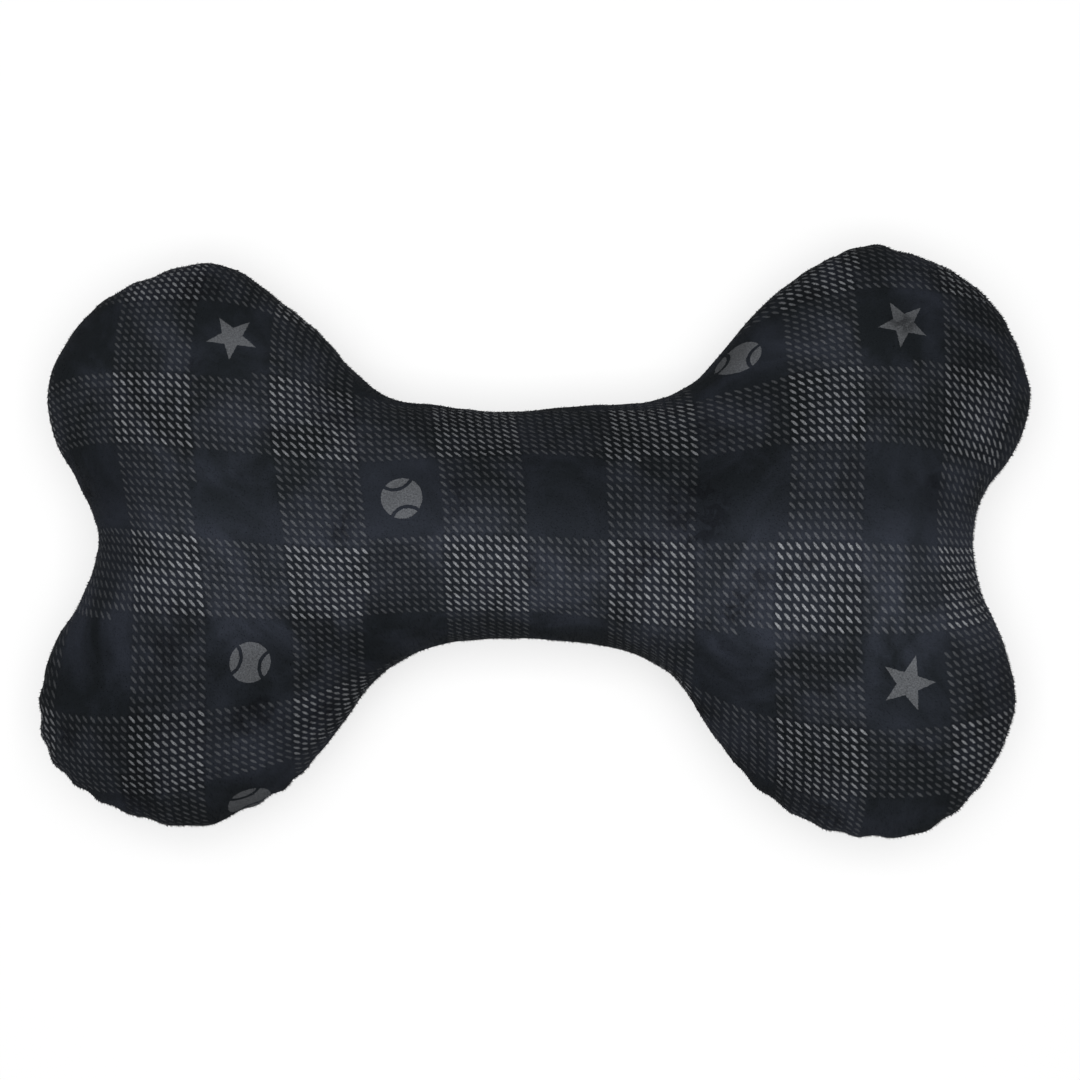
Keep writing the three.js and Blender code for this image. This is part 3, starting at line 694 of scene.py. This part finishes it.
def cloth_mesh(name, rings, up):
    """A mesh of a panel's rings, or of its first ones, as the front or as the back."""
    place, number = numbered(rings)
    faces = surface_faces(number)
    mesh = bpy.data.meshes.new(name)
    place = place * (1, 1, up) + (0, 0, seam_height)
    place[:, 2] = np.maximum(place[:, 2], 0)
    mesh.from_pydata(place.tolist(), [], faces if up > 0 else [face[::-1] for face in faces])
    flat = flat_rings[:len(rings)]
    flat_places = np.zeros((len(place), 3))
    flat_places[number, :2] = flat if up > 0 else flat * (-1, 1) + BACK_PRINT_SHIFT
    add_cloth_places(mesh, flat_places)
    mesh.shade_smooth()
    wrong_side = np.zeros(len(place), bool)
    wrong_side[number[len(form) + ROLL_STEPS + 1:]] = True
    mesh.materials.append(plush)
    mesh.materials.append(backing)
    for polygon in mesh.polygons:
        polygon.material_index = int(all(wrong_side[vertex] for vertex in polygon.vertices))
    return mesh


def carry(piece, sinks):
    """The front of the toy sinks with the squeaker's cap, and its seam stays with the back."""
    if sinks:
        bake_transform(piece)
    else:
        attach(piece, "toy")


panels = {"front": (panel_rings(front_skin), 1), "back": (panel_rings(back_skin), -1)}
for side, (rings, up) in panels.items():
    panel = new_object(side + "_plush_panel", cloth_mesh(side + "_plush_panel", rings, up))
    carry(panel, up > 0)
    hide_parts(side + "_panel")


# Pile: short polyester tips, shorn to one length and brushed to one side. They are drawn thicker
# and further apart than real ones, so that they show, and lie crushed where the toy rests.
PILE_LENGTH = 0.7 * MM
PILE_WIDTH = 0.26 * MM
PILE_SPACING = 1.2 * MM
PILE_LEAN = (0.8, -0.6, 0.0)
PILE_SCATTER = 0.45
PILE_SEEDS = {"front": 3, "back": 8}
SOCKET_KINDS = {
    "Geometry": "Geometry", "Lean": "Vector", "Points": "Int", "Seed": "Int", "Material": "Material"}


def geometry_tree(name, labels):
    """An empty tree of Geometry Nodes with labelled inputs, and the sockets that give them."""
    made = bpy.data.node_groups.new(name, "GeometryNodeTree")
    made.interface.new_socket("Geometry", in_out="OUTPUT", socket_type="NodeSocketGeometry")
    for label in ("Geometry", *labels, "Material"):
        kind = "NodeSocket" + SOCKET_KINDS.get(label, "Float")
        made.interface.new_socket(label, in_out="INPUT", socket_type=kind)
    return made, add_node(made, "NodeGroupInput").outputs


def scattered(tree, given):
    """Points strewn over the mesh, on average one to a square of the spacing."""
    area = add_node(tree, "Math", [given["Spacing"], 2.0], "POWER")
    density = add_node(tree, "Math", [1.0, area], "DIVIDE")
    return add_node(tree, "GeometryNodeDistributePointsOnFaces", {
        "Mesh": given["Geometry"], "Density": density, "Seed": given["Seed"]})


def swept(tree, route, width, sides):
    """A strand of one width along a curve, closed at its ends."""
    radius = add_node(tree, "Math", [width, 0.5], "MULTIPLY")
    rim = add_node(tree, "GeometryNodeCurvePrimitiveCircle", {"Resolution": sides, "Radius": radius})
    return add_node(tree, "GeometryNodeCurveToMesh", {
        "Curve": route, "Profile Curve": rim, "Fill Caps": True})


def end_tree(tree, geometry, given):
    """Ends a tree: what it has made becomes plain geometry and gets its material."""
    real = add_node(tree, "GeometryNodeRealizeInstances", [geometry])
    done = add_node(tree, "GeometryNodeSetMaterial", {"Geometry": real, "Material": given["Material"]})
    add_node(tree, "NodeGroupOutput", [done])


def made_by(tree, name, mesh, values):
    """The piece that a tree makes of a mesh, with a plain mesh of its own."""
    piece = new_object(name, mesh)
    modifier = piece.modifiers.new(name, "NODES")
    modifier.node_group = tree
    for item in tree.interface.items_tree:
        if item.name in values:
            modifier[item.identifier] = values[item.name]
    piece.data = plain_mesh(piece)
    piece.data.name = name
    piece.modifiers.clear()
    return piece


tree, given = geometry_tree("shorn_pile", [
    "Spacing", "Length", "Width", "Lean", "Scatter", "Floor", "Seed"])
roots = scattered(tree, given)
low_scatter = add_node(tree, "Math", [0.0, given["Scatter"]], "SUBTRACT")
scatter = add_node(tree, "FunctionNodeRandomValue", {
    "Min": low_scatter, "Max": given["Scatter"], "Seed": given["Seed"]}, data_type="FLOAT_VECTOR")
combed = add_node(tree, "VectorMath", [roots.outputs["Normal"], given["Lean"]])
pointed = add_node(tree, "VectorMath", [combed, scatter])
turn = add_node(tree, "FunctionNodeAlignRotationToVector", {"Vector": pointed}, axis="Z")
base = add_node(tree, "Math", [given["Width"], 0.5], "MULTIPLY")
tip = add_node(tree, "GeometryNodeMeshCone", {
    "Vertices": 3, "Radius Bottom": base, "Depth": given["Length"]})
tips = add_node(tree, "GeometryNodeInstanceOnPoints", {
    "Points": roots, "Instance": tip, "Rotation": turn})
tips = add_node(tree, "GeometryNodeRealizeInstances", [tips])
x, y, z = add_node(tree, "SeparateXYZ", [add_node(tree, "GeometryNodeInputPosition")]).outputs
level = add_node(tree, "Math", [z, given["Floor"]], "MAXIMUM")
pressed = add_node(tree, "CombineXYZ", [x, y, level])
tips = add_node(tree, "GeometryNodeSetPosition", {"Geometry": tips, "Position": pressed})
end_tree(tree, tips, given)

for side, (rings, up) in panels.items():
    bed = cloth_mesh(side + "_pile", rings[:len(form) + ROLL_STEPS - 1], up)
    pile = made_by(tree, side + "_pile", bed, {
        "Spacing": PILE_SPACING, "Length": PILE_LENGTH, "Width": PILE_WIDTH, "Lean": PILE_LEAN,
        "Scatter": PILE_SCATTER, "Floor": 0.0, "Seed": PILE_SEEDS[side], "Material": plush})
    carry(pile, up > 0)


# Threads: black spun polyester. A lockstitch runs round inside the roll of the seam, through both
# allowances, and a ladder stitch by hand closes the lower edge of the shaft after stuffing.
THREAD_DIAMETER = 0.8 * MM
STITCH_LENGTH = 3 * MM
THREAD_SIDES = 6
THREAD_STEP = 0.4 * MM
TURN_SOFTNESS = 0.1
LOCK_TURN = 0.15
LADDER_TURN = 0.5
PLY_PITCH = 1.1 * MM
OPENING_LENGTH = 70 * MM
CLOSING_PITCH = 5 * MM
CLOSING_INSET = 1.1 * MM
CLOSING_RISE = 1.9 * MM

thread, tree = new_material("spun_polyester_thread")
place = add_node(tree, "TexCoord").outputs["Object"]
plies = add_node(tree, "TexWave", {
    "Vector": place, "Scale": 2 * WAVE_TURN / PLY_PITCH, "Distortion": 1.5}, bands_direction="DIAGONAL")
twist = add_node(tree, "Mix", {0: plies, 6: paint("#0f1013"), 7: paint("#24262c")}, data_type="RGBA")
end_material(tree, twist, roughness=0.6, height=plies, strength=0.7, depth=0.1 * MM)

tree, given = geometry_tree("stitched_thread", ["Stitch", "Turn", "Dip", "Middle", "Diameter", "Step"])
route = add_node(tree, "GeometryNodeMeshToCurve", [given["Geometry"]])
route = add_node(tree, "GeometryNodeResampleCurve", {
    "Curve": route, "Length": given["Step"]}, mode="LENGTH")
run = add_node(tree, "GeometryNodeSplineParameter").outputs["Length"]
half_stitch = add_node(tree, "Math", [given["Stitch"], 0.5], "MULTIPLY")
there = add_node(tree, "Math", [run, half_stitch], "PINGPONG")
there = add_node(tree, "Math", [there, half_stitch], "DIVIDE")
before = add_node(tree, "Math", [given["Turn"], TURN_SOFTNESS], "SUBTRACT")
after = add_node(tree, "Math", [given["Turn"], TURN_SOFTNESS])
share = add_node(tree, "MapRange", [there, before, after, given["Dip"]])
x, y, z = add_node(tree, "SeparateXYZ", [add_node(tree, "GeometryNodeInputPosition")]).outputs
rise = add_node(tree, "Math", [z, given["Middle"]], "SUBTRACT")
level = add_node(tree, "Math", [rise, share, given["Middle"]], "MULTIPLY_ADD")
spot = add_node(tree, "CombineXYZ", [x, y, level])
route = add_node(tree, "GeometryNodeSetPosition", {"Geometry": route, "Position": spot})
end_tree(tree, swept(tree, route, given["Diameter"], THREAD_SIDES), given)


def line_mesh(name, lines):
    """A mesh of open lines of points."""
    mesh = bpy.data.meshes.new(name)
    points, links = [], []
    for line in lines:
        links += [(which - 1, which) for which in range(len(points) + 1, len(points) + len(line))]
        points += [tuple(point) for point in line]
    mesh.from_pydata(points, links, [])
    return mesh


seam_line = edge - outward * (SEAM_ROLL_RADIUS + THREAD_DIAMETER)
in_opening = (np.abs(edge[:, 0]) < OPENING_LENGTH / 2) & (edge[:, 1] < spine_y)
first_after = np.flatnonzero(in_opening & ~np.roll(in_opening, -1))[0] + 1
around = np.roll(np.arange(len(edge)), -first_after)
sewn = seam_line[around[~in_opening[around]]]
above = SEAM_GAP / 2 + PLUSH_THICKNESS + THREAD_DIAMETER / 2
lock_lines = [[(*point, seam_height + side * above) for point in sewn] for side in (1, -1)]
drawn_shut = (edge - outward * CLOSING_INSET)[in_opening]
ladder_lines = [[(*point, seam_height + CLOSING_RISE) for point in drawn_shut]]
threads = {
    "machine_seam_thread": ("seam_thread", lock_lines, STITCH_LENGTH, LOCK_TURN, 0.0),
    "hand_closing_thread": ("closing_thread", ladder_lines, 2 * CLOSING_PITCH, LADDER_TURN, -1.0)}
for name, (node, lines, stitch, turn, dip) in threads.items():
    strand = made_by(tree, name, line_mesh(name, lines), {
        "Stitch": stitch, "Turn": turn, "Dip": dip, "Middle": seam_height,
        "Diameter": THREAD_DIAMETER, "Step": THREAD_STEP, "Material": thread})
    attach(strand, "toy")
    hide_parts(node)


# Stuffing: carded polyester fibre, white and crimped, pushed in as wads. Each wad has the room of
# its solid, a little pulled together, with loose fibres lying over it.
WAD_WELD = 0.01 * MM
WAD_CELL = 3 * MM
WAD_ROUNDING = 8
WAD_SHRINK = 1.8 * MM
WAD_THIN_SHARE = 0.3
WAD_LUMPS = {18 * MM: 1.2 * MM, 8 * MM: 1.0 * MM}
WAD_RAY_START = 0.1 * MM
FIBRE_LENGTH = 5 * MM
FIBRE_WIDTH = 0.14 * MM
FIBRE_CRIMP = 0.5 * MM
FIBRE_CRIMP_LENGTH = 2 * MM
FIBRE_POINTS = 12
FIBRE_SIDES = 3
FIBRE_BOW = 0.3
FIBRE_SPACING = 5 * MM
STRAND_STRETCHES = [(4 * MM, 0.35 * MM, 0.35 * MM), (0.35 * MM, 4 * MM, 0.35 * MM)]
FLUFF_SIZE = 12 * MM
# Range of the strands and lumps over which the fibre runs from its painted shade to its white
FIBRE_TONE_AND_SHADE_RANGE = (0.85, 1.25)

fibrefill, tree = new_material("carded_polyester_fibrefill")
place = add_node(tree, "TexCoord").outputs["Object"]
crossing = []
for stretch in STRAND_STRETCHES:
    drawn = add_node(tree, "VectorMath", [place, stretch], "DIVIDE")
    crossing.append(add_node(tree, "TexNoise", {"Vector": drawn, "Scale": 1.0, "Distortion": 2.0}))
strands = add_node(tree, "Math", crossing, "MAXIMUM")
lumps = add_node(tree, "TexNoise", {"Vector": place, "Scale": 1 / FLUFF_SIZE})
# Painted shade: the fibre is painted darker where the strands lie low, as in their hollows, and lighter
# or darker at random with the lumps
tone_and_painted_strand_shade = add_node(tree, "MapRange", [add_node(tree, "Math", [strands, lumps]), *FIBRE_TONE_AND_SHADE_RANGE])
white = add_node(tree, "Mix", {0: tone_and_painted_strand_shade, 6: paint("#cbc8bf"), 7: paint("#f7f5f0")}, data_type="RGBA")
end_material(tree, white, roughness=0.9, height=strands, strength=0.7, depth=0.4 * MM, others={
    "Sheen Weight": 0.3})

tree, given = geometry_tree("loose_fibres", [
    "Spacing", "Length", "Width", "Crimp", "Crimp Length", "Bow", "Points", "Seed"])
roots = scattered(tree, given)
half_length = add_node(tree, "Math", [given["Length"], 0.5], "MULTIPLY")
other_half = add_node(tree, "Math", [given["Length"], -0.5], "MULTIPLY")
ends = [add_node(tree, "CombineXYZ", [x]) for x in (other_half, half_length)]
hair = add_node(tree, "GeometryNodeCurvePrimitiveLine", ends)
hair = add_node(tree, "GeometryNodeResampleCurve", {"Curve": hair, "Count": given["Points"]})
run = add_node(tree, "GeometryNodeSplineParameter").outputs["Length"]
phase = add_node(tree, "Math", [run, given["Crimp Length"]], "DIVIDE")
phase = add_node(tree, "Math", [phase, 2 * math.pi], "MULTIPLY")
wave = add_node(tree, "Math", [phase], "SINE")
wave = add_node(tree, "Math", [wave, given["Crimp"]], "MULTIPLY")
bow = add_node(tree, "Math", [run, half_length], "PINGPONG")
bow = add_node(tree, "Math", [bow, given["Bow"], wave], "MULTIPLY_ADD")
aside = add_node(tree, "CombineXYZ", {"Y": bow})
hair = add_node(tree, "GeometryNodeSetPosition", {"Geometry": hair, "Offset": aside})
hair = swept(tree, hair, given["Width"], FIBRE_SIDES)
lie = add_node(tree, "FunctionNodeAlignRotationToVector", {"Vector": roots.outputs["Normal"]}, axis="Z")
spin = add_node(tree, "FunctionNodeRandomValue", {
    "Min": (0, 0, 0), "Max": (0, 0, 2 * math.pi), "Seed": given["Seed"]}, data_type="FLOAT_VECTOR")
lie = add_node(tree, "FunctionNodeRotateRotation", {
    "Rotation": lie, "Rotate By": spin}, rotation_space="LOCAL")
hairs = add_node(tree, "GeometryNodeInstanceOnPoints", {
    "Points": roots, "Instance": hair, "Rotation": lie})
wad_and_hairs = add_node(tree, "GeometryNodeJoinGeometry", [hairs])
tree.links.new(given["Geometry"], wad_and_hairs.inputs[0])
end_tree(tree, wad_and_hairs, given)


def wad_mesh(node):
    """A copy of a wad's solid, rounded off, pulled in a little and made lumpy."""
    wad = new_object(node + "_wad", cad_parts[node].data.copy())
    wad.data.materials.clear()
    wad.modifiers.new("welded", "WELD").merge_threshold = WAD_WELD
    cells = wad.modifiers.new("cells", "REMESH")
    cells.mode = "VOXEL"
    cells.voxel_size = WAD_CELL
    rounded = wad.modifiers.new("rounded", "SMOOTH")
    rounded.iterations = WAD_ROUNDING
    mesh = plain_mesh(wad)
    bpy.data.objects.remove(wad)
    spots = [vertex.co.copy() for vertex in mesh.vertices]
    skin = BVHTree.FromPolygons(spots, [polygon.vertices for polygon in mesh.polygons])
    inward = [-vertex.normal for vertex in mesh.vertices]
    for vertex, spot, way in zip(mesh.vertices, spots, inward):
        lump = sum(height * noise.noise(spot / size) for size, height in WAD_LUMPS.items())
        thick = skin.ray_cast(spot + way * WAD_RAY_START, way)[3] or 0
        vertex.co = spot + way * min(WAD_SHRINK + lump, WAD_THIN_SHARE * thick)
    mesh.shade_smooth()
    return mesh


wads = [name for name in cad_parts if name.startswith("stuffing")]
for seed, node in enumerate(sorted(wads)):
    wad = made_by(tree, node.replace("stuffing", "wad"), wad_mesh(node), {
        "Spacing": FIBRE_SPACING, "Length": FIBRE_LENGTH, "Width": FIBRE_WIDTH, "Crimp": FIBRE_CRIMP,
        "Crimp Length": FIBRE_CRIMP_LENGTH, "Bow": FIBRE_BOW, "Points": FIBRE_POINTS, "Seed": seed,
        "Material": fibrefill})
    carry(wad, node != "stuffing_shaft_back")
    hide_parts(node)


# Squeaker: a blow-moulded accordion of soft polyethylene between its base and its cap, with a
# reed of polystyrene clipped in the base. The bellows fold up as the cap is pressed.
PLEATS = 3
FOLD_DEPTH = 3.5 * MM
BELLOWS_WALL = 0.9 * MM
BELLOWS_SHOULDER = 1.5 * MM
BELLOWS_ROUND = 96
PLEAT_STEPS = 4
CLOUD_SIZE = 9 * MM
GRAIN_SIZE = 0.5 * MM
FLOW_SIZE = 3 * MM
SCATTER_DEPTH = (2 * MM, 1.8 * MM, 1.5 * MM)

milky_soft, tree = new_material("blow_moulded_polyethylene")
place = add_node(tree, "TexCoord").outputs["Object"]
cloud = add_node(tree, "TexNoise", {"Vector": place, "Scale": 1 / CLOUD_SIZE, "Detail": 3.0})
milk = add_node(tree, "Mix", {0: cloud, 6: paint("#dedacc"), 7: paint("#efece1")}, data_type="RGBA")
grain = add_node(tree, "TexNoise", {"Vector": place, "Scale": 1 / GRAIN_SIZE})
sheen = add_node(tree, "MapRange", {"Value": cloud, "To Min": 0.38, "To Max": 0.55})
end_material(tree, milk, roughness=sheen, height=grain, strength=0.25, depth=0.05 * MM, others={
    "IOR": 1.51, "Subsurface Weight": 0.3, "Subsurface Radius": SCATTER_DEPTH,
    "Subsurface Scale": 1.0})

clear_hard, tree = new_material("injection_moulded_polystyrene")
place = add_node(tree, "TexCoord").outputs["Object"]
flow = add_node(tree, "TexNoise", {"Vector": place, "Scale": 1 / FLOW_SIZE, "Distortion": 1.0})
tint = add_node(tree, "Mix", {0: flow, 6: paint("#b0bbc4"), 7: paint("#c6d0d7")}, data_type="RGBA")
scuff = add_node(tree, "MapRange", {"Value": flow, "To Min": 0.22, "To Max": 0.38})
end_material(tree, tint, roughness=scuff, height=flow, strength=0.1, depth=0.05 * MM, others={
    "IOR": 1.59})

low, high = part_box("squeaker_bellows")
bellows_radius = (high.x - low.x) / 2
pleat_low, pleat_high = low.z + BELLOWS_SHOULDER, high.z - BELLOWS_SHOULDER
outer_line = [(bellows_radius, low.z)]
for which, height in enumerate(np.linspace(pleat_low, pleat_high, 2 * PLEATS + 1)):
    outer_line.append((bellows_radius - FOLD_DEPTH * (which % 2), height))
outer_line.append((bellows_radius, high.z))
inner_line = [(radius - BELLOWS_WALL, height) for radius, height in reversed(outer_line)]
section = smooth_curve(np.array(outer_line + inner_line), PLEAT_STEPS)
section[:, 1] = np.clip(section[:, 1], low.z, high.z)
section[:, 0] = np.minimum(section[:, 0], bellows_radius)
section = np.vstack([section, section[:1]])
turns = np.linspace(0, 2 * math.pi, BELLOWS_ROUND, endpoint=False)
rings = np.stack([
    section[:, :1] * np.cos(turns), section[:, :1] * np.sin(turns) + spine_y,
    np.repeat(section[:, 1:], BELLOWS_ROUND, axis=1)], axis=2)
place, number = numbered(rings)
mesh = bpy.data.meshes.new("pleated_bellows")
mesh.from_pydata(place.tolist(), [], [face[::-1] for face in surface_faces(number)])
mesh.shade_smooth()
mesh.materials.append(milky_soft)
bellows = new_object("pleated_bellows", mesh)
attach(bellows, "toy")
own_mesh(bellows)
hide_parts("squeaker_bellows")
finishes = {"base": milky_soft, "top": milky_soft, "reed_holder": clear_hard, "reed": clear_hard}
for part, finish in finishes.items():
    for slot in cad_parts["squeaker_" + part].material_slots:
        slot.material = finish


# Studio: a plain pale floor, one wide soft lamp overhead, and a camera that looks straight down
# with the picture's top along +Y. Where the camera sees the floor it is white paper, which keeps
# the toy's shadow and runs out into the white background.
CAMERA_DISTANCE = 926 * MM
VIEW_CENTRE = (1.7 * MM, 0.3 * MM)
LENS = 100
FILM_WIDTH = 36
LAMP_PLACE = (0.0, 0.02, 1.3)
LAMP_SIZE = 0.7
LAMP_POWER = 19
WORLD_STRENGTH = 0.08
FLOOR_SIZE = 6.0
PAPER_GLOW_SHARE = 0.65
PAPER_FADE = (0.35, 1.3)
PAPER_DROP = 0.2 * MM
PAPER_SEEN = 0.95
PAPER_LIT = 0.5


def seen_share(tree):
    """One where the camera, a reflection or a refraction looks, and nothing for light on the toy."""
    path = add_node(tree, "LightPath")
    either = add_node(tree, "Math", [
        path.outputs["Is Camera Ray"], path.outputs["Is Glossy Ray"]], "MAXIMUM")
    return add_node(tree, "Math", [either, path.outputs["Is Transmission Ray"]], "MAXIMUM")


camera = new_object("camera", bpy.data.cameras.new("camera"))
camera.data.lens = LENS
camera.data.sensor_width = FILM_WIDTH
camera.location = (*VIEW_CENTRE, seam_height + CAMERA_DISTANCE)
scene.camera = camera
scene.view_settings.view_transform = "Standard"

lamp = new_object("soft_lamp", bpy.data.lights.new("soft_lamp", "AREA"))
lamp.data.size = LAMP_SIZE
lamp.data.energy = LAMP_POWER
lamp.location = LAMP_PLACE
lamp.rotation_euler = Vector(LAMP_PLACE).to_track_quat("Z", "Y").to_euler()

world = bpy.data.worlds.new("studio")
world.use_nodes = True
tree = world.node_tree
tree.nodes.clear()
scene.world = world
level = add_node(tree, "MapRange", {"Value": seen_share(tree), "To Min": WORLD_STRENGTH})
light = add_node(tree, "Background", [(1, 1, 1, 1), level])
add_node(tree, "OutputWorld", [light])

paper, tree = new_material("white_studio_paper")
seen = seen_share(tree)
spot = add_node(tree, "TexCoord").outputs["Object"]
out = add_node(tree, "VectorMath", [spot], "LENGTH").outputs["Value"]
glow_share = add_node(tree, "MapRange", [
    out, *PAPER_FADE, PAPER_GLOW_SHARE], interpolation_type="SMOOTHSTEP")
glow_share = add_node(tree, "Math", [seen, glow_share], "MULTIPLY")
whiteness = add_node(tree, "MapRange", {"Value": seen, "To Min": PAPER_LIT, "To Max": PAPER_SEEN})
matt = add_node(tree, "BsdfDiffuse", [whiteness])
glow = add_node(tree, "Emission")
mix = add_node(tree, "MixShader", [glow_share, matt, glow])
add_node(tree, "OutputMaterial", [mix])
half = FLOOR_SIZE / 2
corners = [(-half, -half, 0), (half, -half, 0), (half, half, 0), (-half, half, 0)]
floor_mesh = bpy.data.meshes.new("floor")
floor_mesh.from_pydata(corners, [], [(0, 1, 2, 3)])
floor_mesh.materials.append(paper)
floor = new_object("floor", floor_mesh)
floor.location.z = -PAPER_DROP
floor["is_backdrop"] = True

low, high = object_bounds()
